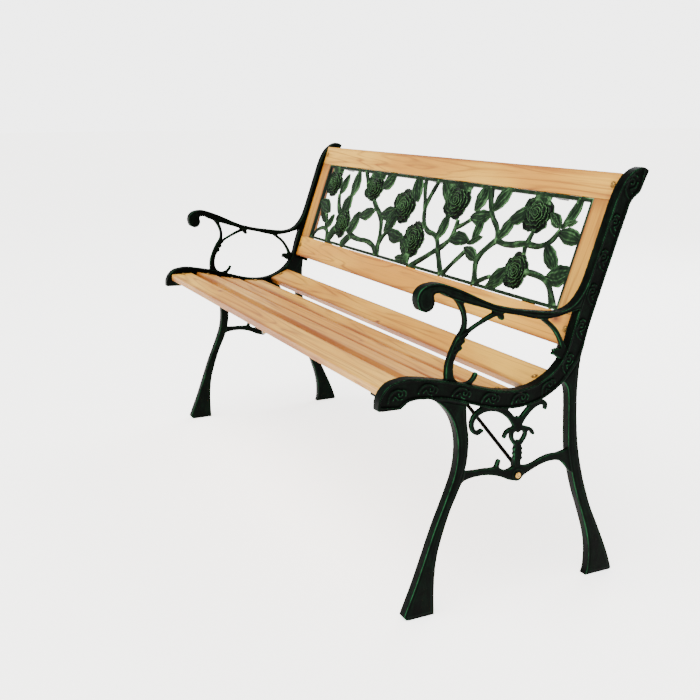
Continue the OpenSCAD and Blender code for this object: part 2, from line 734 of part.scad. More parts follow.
// A straight round bar between two points
module bar(a, b, r) {
    d = b - a;
    translate(a)
        rotate([0, acos(d[2] / norm(d)), atan2(d[1], d[0])])
            cylinder(h = norm(d), r = r, $fn = fine);
}

// A tab lies on local Z = 0, its eye at the origin, and reaches along local +X.
module tab(hole_r) {
    difference() {
        union() {
            cylinder(h = tab_t, r = tab_r, $fn = fine);
            translate([0, -tab_r + 2, 0])
                cube([tab_reach + 3, tab_r * 2 - 4, tab_t]);
        }
        translate([0, 0, -1])
            cylinder(h = tab_t + 2, r = hole_r, $fn = fine);
    }
}

module tie_rod_right() {
    color(iron) {
        translate([boss_face - tab_t, boss[0], boss[1]])
            rotate([0, -90, 0])
                mirror([0, 0, 1])
                    tab(rod_bolt_d / 2 + hole_gap);
        translate([rod_end_x, rod_top[0], rod_top[1] - seat_gap - tab_t])
            tab(rod_screw_d / 2 + hole_gap);
        bar(rod_low, rod_high, rod_d / 2);
    }
}

module tie_rod_left() {
    mirror([1, 0, 0]) tie_rod_right();
}

module tie_rod_bolts() {
    color(brass)
        both_ends()
            translate([half_l - ornament_inset + 1, boss[0], boss[1]])
                rotate([0, 90, 0]) {
                    cylinder(h = rod_head_t, r = rod_bolt_d * 0.75, $fn = fine);
                    translate([0, 0, -rod_bolt_l])
                        cylinder(h = rod_bolt_l + 0.5, r = rod_bolt_d / 2, $fn = fine);
                }
}

module tie_rod_nuts() {
    color(steel)
        both_ends()
            translate([boss_face - tab_t - rod_nut_t, boss[0], boss[1]])
                rotate([0, 90, 0])
                    nut(rod_bolt_d, rod_bolt_d * 1.7, rod_nut_t);
}

module tie_rod_screws() {
    color(steel)
        both_ends()
            translate([rod_end_x, rod_top[0], rod_top[1] - seat_gap - tab_t]) {
                translate([0, 0, -rod_screw_head_t])
                    cylinder(h = rod_screw_head_t, r = rod_screw_d, $fn = fine);
                cylinder(h = tab_t + rod_screw_l, r = rod_screw_d / 2, $fn = fine);
            }
}

end_frame_left();
end_frame_right();
seat_slat_1();
seat_slat_2();
seat_slat_3();
seat_slat_4();
seat_slat_5();
back_top_rail();
back_bottom_rail();
back_stile_left();
back_stile_right();
stile_dowels();
rose_panel();
panel_screws();
seat_bolts();
seat_washers();
seat_nuts();
back_bolts();
back_washers();
back_nuts();
tie_rod_left();
tie_rod_right();
tie_rod_bolts();
tie_rod_nuts();
tie_rod_screws();
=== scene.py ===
"""Garden bench: cast iron end frames, pine slats and a cast rose panel, built over the CAD frame."""

import math

import bmesh
import bpy
import numpy as np
from mathutils import Euler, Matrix, Vector, geometry, kdtree, noise


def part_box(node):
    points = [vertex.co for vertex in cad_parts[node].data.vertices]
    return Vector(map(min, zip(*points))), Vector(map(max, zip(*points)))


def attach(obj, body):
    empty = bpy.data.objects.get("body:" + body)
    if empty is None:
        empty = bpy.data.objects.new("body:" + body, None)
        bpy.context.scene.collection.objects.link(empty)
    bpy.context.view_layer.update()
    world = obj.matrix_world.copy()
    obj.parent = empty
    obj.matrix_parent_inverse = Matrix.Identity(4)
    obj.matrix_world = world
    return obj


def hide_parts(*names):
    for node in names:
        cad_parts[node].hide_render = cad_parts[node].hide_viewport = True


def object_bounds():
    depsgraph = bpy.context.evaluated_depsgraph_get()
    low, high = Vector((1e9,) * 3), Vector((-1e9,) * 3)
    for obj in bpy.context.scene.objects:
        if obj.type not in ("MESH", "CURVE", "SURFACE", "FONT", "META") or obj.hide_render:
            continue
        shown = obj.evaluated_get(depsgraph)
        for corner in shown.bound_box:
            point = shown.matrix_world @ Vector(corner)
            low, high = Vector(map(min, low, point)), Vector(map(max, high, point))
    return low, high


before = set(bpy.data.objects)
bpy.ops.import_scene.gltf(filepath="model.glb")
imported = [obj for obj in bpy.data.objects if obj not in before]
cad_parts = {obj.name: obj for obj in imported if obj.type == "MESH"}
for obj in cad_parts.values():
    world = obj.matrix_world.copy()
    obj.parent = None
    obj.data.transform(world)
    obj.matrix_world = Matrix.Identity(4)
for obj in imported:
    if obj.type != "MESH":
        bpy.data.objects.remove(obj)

cad_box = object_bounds()
MM = 0.001
X = np.array((1.0, 0.0, 0.0))
Z = np.array((0.0, 0.0, 1.0))


# ---- meshes ------------------------------------------------------------------------------


def vertex_vectors(mesh, what):
    values = np.empty(len(mesh.vertices) * 3)
    mesh.vertices.foreach_get(what, values)
    return values.reshape(-1, 3)


def node_points(node):
    return vertex_vectors(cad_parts[node].data, "co")


def add_attribute(mesh, name, kind, values):
    layer = mesh.attributes.new(name, kind, "POINT")
    key = "vector" if kind == "FLOAT_VECTOR" else "value"
    layer.data.foreach_set(key, np.asarray(values, float).ravel())


def make_piece(name, points, faces, material, nodes=(), attributes=None):
    """Makes a smooth-shaded mesh that rides on the bench and stands for the CAD nodes given."""
    mesh = bpy.data.meshes.new(name)
    mesh.from_pydata([tuple(p) for p in points], [], faces)
    mesh.update()
    for key, (kind, values) in (attributes or {}).items():
        add_attribute(mesh, key, kind, values)
    mesh.shade_smooth()
    mesh.materials.append(material)
    piece = bpy.data.objects.new(name, mesh)
    bpy.context.scene.collection.objects.link(piece)
    finish_piece(piece, nodes)
    return piece


def finish_piece(piece, nodes):
    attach(piece, "root")
    if nodes:
        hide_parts(*nodes)


class Shape:
    """Collects points and faces from several shapes that make one casting."""

    def __init__(self):
        self.points = []
        self.faces = []

    def add(self, points, faces):
        start = len(self.points)
        self.points.extend(points)
        self.faces.extend([tuple(start + i for i in face) for face in faces])

    def add_rings(self, rings, closed=True, cap_start=True, cap_end=True):
        """Skins rings of equal length, and closes the ends."""
        size = len(rings[0])
        points = [p for ring in rings for p in ring]
        faces = []
        spans = size if closed else size - 1
        for r in range(len(rings) - 1):
            for i in range(spans):
                j = (i + 1) % size
                faces.append((r * size + i, r * size + j, (r + 1) * size + j, (r + 1) * size + i))
        for wanted, r, turn in ((cap_start, 0, -1), (cap_end, len(rings) - 1, 1)):
            if wanted:
                centre = np.mean(rings[r], axis=0)
                points.append(centre)
                hub = len(points) - 1
                for i in range(size):
                    pair = (r * size + i, r * size + (i + 1) % size)
                    faces.append((hub, *pair[::turn]))
        self.add(points, faces)


def spline(points, steps):
    """A smooth curve through points, each a tuple of any length."""
    rows = [np.array(p, float) for p in points]
    curve = []
    for i in range(len(rows) - 1):
        a, b = rows[max(i - 1, 0)], rows[i]
        c, d = rows[i + 1], rows[min(i + 2, len(rows) - 1)]
        for k in range(steps):
            t = k / steps
            curve.append(0.5 * (2 * b + (c - a) * t + (2 * a - 5 * b + 4 * c - d) * t * t
                                + (3 * b - a - 3 * c + d) * t ** 3))
    curve.append(rows[-1])
    return curve


def edge_light_and_wear(mesh, spread=2, gain=2.2):
    """1 where the surface is convex, as on rims and relief, 0.5 on flats, and 0 in grooves; the
    paint uses it for painted highlights and painted shade.
    """
    count = len(mesh.vertices)
    co, normal = vertex_vectors(mesh, "co"), vertex_vectors(mesh, "normal")
    edges = np.empty(len(mesh.edges) * 2, int)
    mesh.edges.foreach_get("vertices", edges)
    a, b = edges.reshape(-1, 2).T
    links = np.bincount(a, minlength=count) + np.bincount(b, minlength=count)
    links = np.maximum(links, 1)

    def mean_of_neighbours(values):
        out = np.zeros_like(values)
        np.add.at(out, a, values[b])
        np.add.at(out, b, values[a])
        return out / (links[:, None] if out.ndim == 2 else links)

    reach = np.linalg.norm(co[a] - co[b], axis=1)
    size = (np.bincount(a, reach, count) + np.bincount(b, reach, count)) / links
    convex = -np.einsum("ij,ij->i", mean_of_neighbours(co) - co, normal) / np.maximum(size, 1e-6)
    for _ in range(spread):
        convex = 0.5 * convex + 0.5 * mean_of_neighbours(convex)
    return np.clip(0.5 + gain * convex, 0, 1)


# ---- materials ---------------------------------------------------------------------------


class Nodes:
    """A short way to write a material's node tree."""

    def __init__(self, name):
        self.material = bpy.data.materials.new(name)
        self.material.use_nodes = True
        self.tree = self.material.node_tree
        self.shader = self.tree.nodes["Principled BSDF"]

    def new(self, kind, settings=None, **inputs):
        node = self.tree.nodes.new(kind)
        for key, value in (settings or {}).items():
            setattr(node, key, value)
        for key, value in inputs.items():
            self.set(node.inputs[key.replace("_", " ")], value)
        return node

    def set(self, socket, value):
        if isinstance(value, bpy.types.NodeSocket):
            self.tree.links.new(value, socket)
        else:
            socket.default_value = value

    def attribute(self, name):
        return self.new("ShaderNodeAttribute", {"attribute_name": name})

    def math(self, operation, a, b=0.0):
        node = self.tree.nodes.new("ShaderNodeMath")
        node.operation = operation
        self.set(node.inputs[0], a)
        self.set(node.inputs[1], b)
        return node.outputs[0]

    def scaled(self, vector, scale, offset=(0, 0, 0)):
        node = self.new("ShaderNodeMapping", Vector=vector, Scale=scale, Location=offset)
        return node.outputs[0]

    def noise(self, vector, scale, detail=3.0, roughness=0.55, distortion=0.0):
        node = self.new("ShaderNodeTexNoise", Vector=vector, Scale=scale, Detail=detail,
                        Roughness=roughness, Distortion=distortion)
        return node.outputs["Fac"]

    def span(self, value, low, high, to_low=0.0, to_high=1.0):
        node = self.new("ShaderNodeMapRange", {"interpolation_type": "SMOOTHSTEP"}, Value=value)
        for key, number in (("From Min", low), ("From Max", high), ("To Min", to_low),
                            ("To Max", to_high)):
            node.inputs[key].default_value = number
        return node.outputs[0]

    def mix(self, factor, a, b, blend="MIX"):
        node = self.tree.nodes.new("ShaderNodeMix")
        node.data_type = "RGBA"
        node.blend_type = blend
        self.set(node.inputs[0], factor)
        self.set(node.inputs[6], a)
        self.set(node.inputs[7], b)
        return node.outputs[2]

    def bump(self, height, strength, distance, below=None):
        node = self.new("ShaderNodeBump", Height=height, Strength=strength, Distance=distance)
        if below is not None:
            self.set(node.inputs["Normal"], below)
        return node.outputs[0]

    def done(self, **inputs):
        for key, value in inputs.items():
            self.set(self.shader.inputs[key.replace("_", " ")], value)
        return self.material


def rgb(red, green, blue):
    """A linear colour from screen values of 0 to 255."""
    return (*[((c / 255 + 0.055) / 1.055) ** 2.4 if c > 10 else c / 3294.6
              for c in (red, green, blue)], 1.0)


def knotted(n, colour, grain, streaks, along, across, size):
    """Paints one knot, longer along the grain than across it, over the colour given."""
    longer = 0.55 / size
    offset = n.scaled(grain, (longer, 1 / size, 0), (-along * 0.55 / size, -across / size, 0))
    reach = n.new("ShaderNodeVectorMath", {"operation": "LENGTH"})
    n.set(reach.inputs[0], offset)
    knot = n.math("ADD", reach.outputs["Value"], n.math("MULTIPLY", streaks, 0.5))
    colour = n.mix(n.span(knot, 0.75, 1.7, 0.85, 0.0), colour, rgb(128, 70, 32))
    return n.mix(n.span(knot, 0.45, 0.8, 0.8, 0.0), colour, rgb(70, 36, 18))


def wood(name, seed, tone=1.0, knots=()):
    """Oiled pine: board coordinates run along, across and through the board, in metres."""
    n = Nodes(name)
    grain = n.attribute("grain").outputs["Vector"]
    edge = n.attribute("edge").outputs["Fac"]
    shift = (seed * 3.7, seed * 1.9, seed * 0.6)
    figure = n.noise(n.scaled(grain, (1.1, 16, 22), shift), 1.0, 2.0, 0.45, 0.35)
    rings = n.math("PINGPONG", n.math("MULTIPLY", figure, 11.0), 0.5)
    late_wood = n.span(rings, 0.28, 0.5)
    streaks = n.noise(n.scaled(grain, (2.2, 70, 90), shift), 1.0, 4.0, 0.6, 0.2)
    fibre = n.noise(n.scaled(grain, (14, 900, 900), shift), 1.0, 3.0, 0.6)
    clouds = n.noise(n.scaled(grain, (2.6, 9, 9), shift), 1.0, 2.0)
    pale, mid, dark = rgb(208, 160, 54), rgb(184, 128, 34), rgb(116, 62, 12)
    colour = n.mix(n.span(clouds, 0.3, 0.62), pale, mid)
    colour = n.mix(n.math("MULTIPLY", late_wood, n.span(streaks, 0.3, 0.72, 0.16, 0.8)),
                   colour, dark)
    colour = n.mix(n.span(streaks, 0.5, 0.74, 0.0, 0.6), colour, rgb(146, 86, 22))
    colour = n.mix(n.span(fibre, 0.52, 0.72, 0.0, 0.34), colour, rgb(104, 56, 14))
    # Painted shade: darker along the board's corners and at its ends, where it meets the frame
    edge_shade = n.math("MULTIPLY", edge, n.span(clouds, 0.25, 0.65, 0.35, 0.85))
    colour = n.mix(edge_shade, colour, rgb(116, 56, 10))
    for knot in knots:
        colour = knotted(n, colour, grain, streaks, *knot)
    # Multiplies the colour: a board's own tone, and on the stiles painted shade
    if tone != 1.0:
        colour = n.mix(1.0, colour, (tone, tone * 0.97, tone * 0.93, 1.0), "MULTIPLY")
    normal = n.bump(late_wood, 0.25, 0.0002)
    normal = n.bump(fibre, 0.35, 0.00012, normal)
    roughness = n.span(streaks, 0.2, 0.8, 0.42, 0.6)
    return n.done(Base_Color=colour, Roughness=roughness, Normal=normal, Specular_IOR_Level=0.35)


def cast_paint(name, shade, patina, highlight, patina_from, highlight_from, gloss, grit=0.4):
    """Dark paint on rough casting, with paler green rubbed over what stands proud, plus painted
    highlights on convex relief and painted shade in grooves.
    """
    n = Nodes(name)
    place = n.new("ShaderNodeTexCoord").outputs["Object"]
    light_and_wear = n.attribute("light_and_wear").outputs["Fac"]
    blotch = n.noise(place, 38.0, 4.0, 0.6, 0.4)
    brushed = n.noise(n.scaled(place, (60, 60, 18)), 1.0, 4.0, 0.65, 0.6)
    pores = n.noise(place, 900.0, 3.0, 0.6)
    lumps = n.noise(place, 240.0, 3.0, 0.55)
    # Painted highlight and shade from convexity, mixed with real rubbed patina from the noise
    rubbed_and_lit = n.math("ADD", light_and_wear, n.math("MULTIPLY", n.math("SUBTRACT", brushed, 0.5), 0.55))
    rubbed_and_lit = n.math("ADD", rubbed_and_lit, n.math("MULTIPLY", n.math("SUBTRACT", blotch, 0.5), 0.45))
    colour = n.mix(n.span(rubbed_and_lit, *patina_from), shade, patina)
    # Painted highlight on what stands proud, broken up by the rubbed patina
    colour = n.mix(n.span(rubbed_and_lit, *highlight_from), colour, highlight)
    colour = n.mix(n.span(pores, 0.56, 0.7, 0.0, 0.35), colour, shade)
    normal = n.bump(lumps, grit, 0.0006)
    normal = n.bump(pores, grit * 0.8, 0.00025, normal)
    roughness = n.span(rubbed_and_lit, 0.3, 0.9, 0.36, 0.66)
    return n.done(Base_Color=colour, Roughness=roughness, Normal=normal, Specular_IOR_Level=gloss)


def plated(name, colour, tarnish, roughness):
    """Plated steel with tarnish in blotches and fine turning marks."""
    n = Nodes(name)
    place = n.new("ShaderNodeTexCoord").outputs["Object"]
    blotch = n.noise(place, 420.0, 4.0, 0.65)
    marks = n.noise(place, 2600.0, 2.0)
    tint = n.mix(n.span(blotch, 0.4, 0.66), colour, tarnish)
    normal = n.bump(marks, 0.25, 0.0001)
    return n.done(Base_Color=tint, Metallic=0.9, Normal=normal,
                  Roughness=n.span(blotch, 0.3, 0.7, roughness, roughness + 0.25))


def pale_floor():
    n = Nodes("floor_paper")
    place = n.new("ShaderNodeTexCoord").outputs["Object"]
    tint = n.mix(n.noise(place, 0.8, 2.0), rgb(252, 251, 248), rgb(250, 248, 243))
    return n.done(Base_Color=tint, Roughness=0.9, Specular_IOR_Level=0.1,
                  Emission_Color=rgb(255, 255, 255), Emission_Strength=FLOOR_GLOW)


# ---- wooden parts ------------------------------------------------------------------------

EASE = 1.3 * MM
BOARD_STEP = 4 * MM
STATION_STEP = 20 * MM
RIPPLE = 0.12 * MM
# How far from a board's corners and ends the painted shade reaches
EDGE_SHADE_REACH = 7 * MM
SHORTEST_EDGE = 0.3 * MM
# The rounding at a board's ends: how far along the ease, and how much of it is cut off
END_EASE = [(0.0, 1.0), (0.15, 0.45), (0.5, 0.12), (1.0, 0.0)]


def board_axes(points, along):
    """The board's across and depth directions: across is the section's longest straight edge."""
    helper = Z if abs(along[2]) < 0.9 else X
    side = np.cross(helper, along)
    side /= np.linalg.norm(side)
    other = np.cross(along, side)
    flat = [Vector((p @ side, p @ other)) for p in points]
    hull = [flat[i] for i in geometry.convex_hull_2d(flat)]
    longest = max((hull[i] - hull[i - 1] for i in range(len(hull))), key=lambda e: e.length)
    longest.normalize()
    across = side * longest.x + other * longest.y
    if across[1] < -0.05 or across[2] < -0.7 or across[0] < -0.5:
        across = -across
    return across, np.cross(along, across)


def section_outline(points, across, depth):
    """The corners of the board's section, leaving out edges too short to show."""
    flat = [Vector((p @ across, p @ depth)) for p in points]
    hull = [flat[i] for i in geometry.convex_hull_2d(flat)]
    return [p for i, p in enumerate(hull) if (p - hull[i - 1]).length > SHORTEST_EDGE]


def eased_section(outline):
    """Rounds the outline's corners and divides its straight runs."""
    ring = []
    count = len(outline)
    for i, corner in enumerate(outline):
        ends = []
        for other in (outline[i - 1], outline[(i + 1) % count]):
            away = other - corner
            ends.append(corner + away.normalized() * min(EASE, 0.4 * away.length))
        for t in (0.0, 0.33, 0.67, 1.0):
            ring.append(ends[0] * (1 - t) ** 2 + corner * 2 * t * (1 - t) + ends[1] * t ** 2)
    divided = []
    for i, point in enumerate(ring):
        after = ring[(i + 1) % len(ring)]
        parts = max(1, math.ceil((after - point).length / BOARD_STEP))
        divided.extend(point.lerp(after, k / parts) for k in range(parts))
    return divided


def board_stations(low, high):
    """Places along a board, each with how far its outline is drawn in."""
    inner = int((high - low - 4 * EASE) / STATION_STEP)
    body = np.linspace(low + 2 * EASE, high - 2 * EASE, inner)
    stations = [(low + EASE * t, EASE * s) for t, s in END_EASE]
    stations += [(u, 0.0) for u in body]
    stations += [(high - EASE * t, EASE * s) for t, s in reversed(END_EASE)]
    return stations


def board(name, node, along, seed, slot, **look):
    """Rebuilds a straight board with eased edges, softened ends and its own grain."""
    points = node_points(node)
    along = np.array(along, float)
    along /= np.linalg.norm(along)
    across, depth = board_axes(points, along)
    ring = eased_section(section_outline(points, across, depth))
    middle = sum(ring, Vector((0, 0))) / len(ring)
    half = max((p - middle).length for p in ring)
    corners = [p for p in ring if (p - middle).length > 0.93 * half]
    low, high = (points @ along).min(), (points @ along).max()
    rings, grain, edge = [], [], []
    for u, inset in board_stations(low, high):
        loop = []
        for p in ring:
            away = (p - middle).normalized()
            ripple = RIPPLE * (noise.noise((u * 6 + seed, p.x * 40, p.y * 40)) - 1)
            q = p + away * (ripple - inset)
            loop.append(along * u + across * q.x + depth * q.y)
            grain.append((u, p.x - middle.x, p.y - middle.y))
            # Strength of the painted shade near the corners and ends
            near = min((p - c).length for c in corners)
            end = min(u - low, high - u)
            edge.append(max(0.0, 1 - min(near, end) / EDGE_SHADE_REACH))
        rings.append(loop)
    shape = Shape()
    shape.add_rings(rings)
    for end in (low, high):
        grain.append((end, 0, 0))
        edge.append(0.2)
    return make_piece(name, shape.points, shape.faces, wood(name + "_pine", seed, **look),
                      [node], {"grain": ("FLOAT_VECTOR", grain), "edge": ("FLOAT", edge)})


# ---- castings ----------------------------------------------------------------------------

VOXEL = 1.25 * MM
BEAD = 3.2 * MM
GROOVE = 1.6 * MM
GROOVE_DEPTH = 0.9 * MM
# The casting's skin, in mm: broad lumps, fine grit, and how far it is drawn in
LUMPS, GRIT, DRAWN_IN = 0.16, 0.07, 0.1
OUTLINE_STEP = 1.2 * MM
OUTER_SKIN = 2.4 * MM


def welded(node):
    """The node's mesh with the corners that share a place joined."""
    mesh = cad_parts[node].data.copy()
    work = bmesh.new()
    work.from_mesh(mesh)
    bmesh.ops.remove_doubles(work, verts=work.verts, dist=1e-6)
    work.normal_update()
    return mesh, work


def outer_outline(work, outward):
    """A tree of points along the outlines of the faces that look outward."""
    points = []
    for e in work.edges:
        if len(e.link_faces) != 2:
            continue
        facing = sorted(abs(f.normal.x) for f in e.link_faces)
        if facing[0] < 0.3 and facing[1] > 0.95 and max(
                f.normal.x * outward for f in e.link_faces) > 0.95:
            a, b = (v.co for v in e.verts)
            parts = max(1, int((b - a).length / OUTLINE_STEP))
            points.extend(a.lerp(b, k / parts) for k in range(parts + 1))
    tree = kdtree.KDTree(len(points))
    for i, p in enumerate(points):
        tree.insert(p, i)
    tree.balance()
    return tree


def remeshed(piece):
    """The piece's mesh rebuilt on an even grid, with its corners softened."""
    remesh = piece.modifiers.new("cast", "REMESH")
    remesh.mode = "VOXEL"
    remesh.voxel_size = VOXEL
    soften = piece.modifiers.new("soften", "SMOOTH")
    soften.factor = 0.5
    soften.iterations = 3
    graph = bpy.context.evaluated_depsgraph_get()
    cast = bpy.data.meshes.new_from_object(piece.evaluated_get(graph))
    piece.modifiers.clear()
    return cast


def end_frame(name, node, outward):
    """Softens the CAD frame as a casting, and cuts a groove round its legs and arm."""
    mesh, work = welded(node)
    tree = outer_outline(work, outward)
    work.to_mesh(mesh)
    work.free()
    piece = bpy.data.objects.new(name, mesh)
    bpy.context.scene.collection.objects.link(piece)
    cast = remeshed(piece)
    piece.data = cast
    face_x = cad_box[1][0]
    co, normal = vertex_vectors(cast, "co"), vertex_vectors(cast, "normal")
    push = np.empty(len(co))
    for i, (p, n) in enumerate(zip(co, normal)):
        place = Vector(p)
        push[i] = LUMPS * noise.noise(place * 90) + GRIT * noise.noise(place * 320) - DRAWN_IN
        if n[0] * outward > 0.75 and p[0] * outward > face_x - OUTER_SKIN:
            reach = (tree.find(place)[2] - BEAD) / GROOVE
            push[i] -= GROOVE_DEPTH / MM * math.exp(-reach * reach)
    cast.vertices.foreach_set("co", (co + normal * push[:, None] * MM).ravel())
    cast.update()
    # Convexity for the paint's painted highlights on rims and relief and painted shade in grooves
    add_attribute(cast, "light_and_wear", "FLOAT", edge_light_and_wear(cast, 2, 3.0))
    cast.shade_smooth()
    cast.materials.clear()
    cast.materials.append(iron_paint)
    finish_piece(piece, [node])
    return piece


def eased_copy(name, node, width, material):
    """A copy of a small CAD part with its sharp edges broken."""
    mesh, work = welded(node)
    bmesh.ops.dissolve_limit(work, angle_limit=math.radians(1), verts=work.verts,
                             edges=work.edges)
    sharp = [e for e in work.edges if len(e.link_faces) == 2 and e.calc_face_angle(0) > 0.6]
    bmesh.ops.bevel(work, geom=sharp, offset=width, segments=2, profile=0.6, affect="EDGES",
                    clamp_overlap=True)
    bmesh.ops.triangulate(work, faces=[f for f in work.faces if len(f.verts) > 4])
    work.to_mesh(mesh)
    work.free()
    mesh.materials.clear()
    mesh.materials.append(material)
    # Convexity for painted highlights on the edges and painted shade in hollows, where the iron
    # paint reads it
    add_attribute(mesh, "light_and_wear", "FLOAT", edge_light_and_wear(mesh, 1, 1.0))
    mesh.shade_smooth()
    mesh.set_sharp_from_angle(angle=math.radians(50))
    piece = bpy.data.objects.new(name, mesh)
    bpy.context.scene.collection.objects.link(piece)
    finish_piece(piece, [node])
    return piece


# ---- rose panel --------------------------------------------------------------------------
# The panel is drawn flat in millimetres: across, up from its centre, and depth behind the
# front of the wood. The lists follow the CAD panel's, and the swells widen what they give.

DRAWN_HALF_W, DRAWN_HALF_H = 540, 100.5
PANEL_T, RIM_W, STEM_T = 8, 7, 6.8
LUG_X, LUG_HALF_W, LUG_REACH = (-440, 0, 440), 13, 21
LUG_FRONT, LUG_BACK = 16, 19
STEM_SWELL, LEAF_SWELL, ROSE_SWELL = 1.45, 1.2, 1.12
# The share of the painted highlight and rubbed green that the back of the panel keeps
REAR_LIGHT_AND_WEAR = 0.55

# Stems: the points of each one, as across, up and width
STEMS = [
    [(227, 98, 12), (235, 76, 11), (248, 54, 10), (265, 36, 9), (283, 23, 9), (293, 10, 9),
     (298, -3, 10)],
    [(298, -3, 10), (322, -7, 9), (348, -6, 9), (373, -1, 10), (394, 1, 10), (424, 1, 8),
     (449, 8, 8), (465, 21, 8), (475, 38, 6)],
    [(298, -3, 10), (277, -19, 10), (260, -36, 11), (253, -54, 11), (259, -74, 11),
     (270, -98, 16)],
    [(394, 1, 10), (398, 16, 8), (402, 30, 8)],
    [(391, -4, 8), (396, -20, 7)],
    [(417, -49, 8), (443, -49, 9), (468, -52, 9), (489, -60, 9), (505, -76, 9), (521, -98, 14)],
    [(270, -96, 9), (292, -83, 8), (313, -74, 6)],
    [(141, -98, 14), (118, -69, 10), (101, -49, 10), (88, -30, 10), (68, -19, 9), (43, -16, 9),
     (22, -6, 9), (7, 11, 9), (0, 31, 9), (3, 51, 9), (11, 71, 9), (24, 98, 9)],
    [(-33, 98, 9), (-24, 72, 8), (-12, 51, 8), (-1, 30, 8)],
    [(10, -98, 10), (42, -81, 9), (72, -64, 9), (98, -49, 10), (122, -34, 9), (137, -19, 8),
     (142, 1, 8), (143, 22, 8)],
    [(142, 4, 8), (167, 14, 7), (190, 27, 7)],
    [(146, -97, 10), (167, -73, 8), (187, -54, 8), (204, -38, 7)],
    [(-440, 28, 10), (-425, 1, 11), (-405, -20, 11), (-388, -30, 9)],
    [(-328, 97, 9), (-314, 82, 8), (-300, 66, 8)],
    [(-244, 28, 9), (-224, 15, 11), (-204, 4, 11), (-188, -6, 11), (-174, -24, 10),
     (-164, -49, 10), (-159, -74, 12), (-155, -98, 22)],
    [(-158, -70, 9), (-148, -49, 8), (-132, -37, 8), (-108, -33, 7)],
    [(-340, -54, 9), (-309, -66, 10), (-268, -71, 9), (-229, -70, 9), (-204, -72, 9),
     (-179, -79, 9), (-160, -94, 10)],
    [(-349, -96, 16), (-329, -80, 18), (-308, -69, 12)],
    [(-529, -96, 6), (-510, -77, 6), (-489, -68, 7), (-469, -66, 7), (-449, -72, 8),
     (-439, -92, 8)],
    [(-464, -64, 7), (-468, -49, 9), (-480, -30, 9)],
    [(-430, -96, 20), (-419, -75, 22), (-402, -58, 18)],
    [(-14, -98, 20), (-15, -74, 18)],
    [(-364, 98, 8), (-362, 84, 8)],
    [(-372, 34, 7), (-377, 24, 7)],
    [(505, 98, 10), (500, 88, 9)],
    [(-487, 98, 40), (-487, 84, 40)],
    [(-258, 98, 50), (-258, 82, 50)],
    [(117, 98, 60), (117, 82, 60)],
    [(400, 98, 34), (398, 82, 40)],
]
# Leaves: across, up, length, width, direction in degrees
LEAVES = [
    (456, 53, 44, 20, -32), (508, 29, 70, 26, -6), (475, -13, 64, 26, -40),
    (511, -39, 66, 34, 18), (494, 71, 68, 20, 62), (497, 53, 34, 11, 15),
    (318, 22, 58, 24, 52), (344, 52, 66, 26, 28), (340, -72, 66, 28, 42), (334, -88, 56, 18, 24),
    (276, 77, 66, 28, 50), (205, 72, 58, 32, 66), (220, 38, 68, 28, 10), (227, 8, 56, 20, 76),
    (227, -13, 46, 12, 28), (226, -41, 60, 22, -18), (168, -20, 76, 26, 4), (93, 1, 60, 26, 68),
    (66, 76, 62, 26, -44), (-93, -39, 76, 28, -4), (-158, 8, 64, 28, 18), (-132, -10, 66, 34, 58),
    (-38, -62, 56, 26, -34), (-36, -87, 54, 17, 5), (-53, 74, 66, 34, -66), (-196, 82, 60, 34, 40),
    (-310, -36, 66, 32, 68), (-260, -3, 76, 26, 16), (-366, 61, 70, 34, 84),
    (-376, 4, 62, 36, 74), (-426, 56, 58, 26, 68), (-500, -10, 74, 30, -18),
    (-492, -31, 66, 17, -38), (-448, -45, 48, 20, 52),
]
# Roses: across, up, width, height
ROSES = [(-487, 56, 76, 68), (-375, -40, 72, 74), (-261, 61, 84, 66), (-93, 28, 92, 76),
         (-8, -40, 80, 76), (117, 61, 90, 78), (397, 61, 80, 72), (388, -52, 66, 66)]
# Petal layers: share of the rose's size, height at the hollow, height at the lip, petals
PETALS = [(1.0, 0.4, 2.7, 5), (0.8, 1.2, 3.9, 5), (0.61, 2.1, 5.0, 4), (0.44, 2.9, 5.8, 4),
          (0.28, 3.7, 6.4, 3), (0.15, 4.5, 6.8, 2)]
ROSE_SIDES, STEM_SIDES = 96, 14


def stem_shape(shape, points, seed):
    """A gnarled round stem with a ridge that winds along it."""
    curve = spline(points, 5)
    rings = []
    for i, (x, z, width) in enumerate(curve):
        ahead = curve[min(i + 1, len(curve) - 1)][:2] - curve[max(i - 1, 0)][:2]
        ahead = ahead / np.linalg.norm(ahead)
        side = np.array((-ahead[1], ahead[0]))
        ring = []
        for k in range(STEM_SIDES):
            a = math.tau * k / STEM_SIDES
            bark = 1 + 0.09 * math.cos(4 * a + i * 0.45 + seed)
            bark += 0.1 * noise.noise((x * 0.05, z * 0.05, a + seed))
            across = STEM_SWELL * width / 2 * bark * math.cos(a)
            depth = PANEL_T / 2 - 0.4 - STEM_T / 2 * bark * math.sin(a)
            ring.append((x + side[0] * across, z + side[1] * across, depth))
        rings.append(ring)
    shape.add_rings(rings)


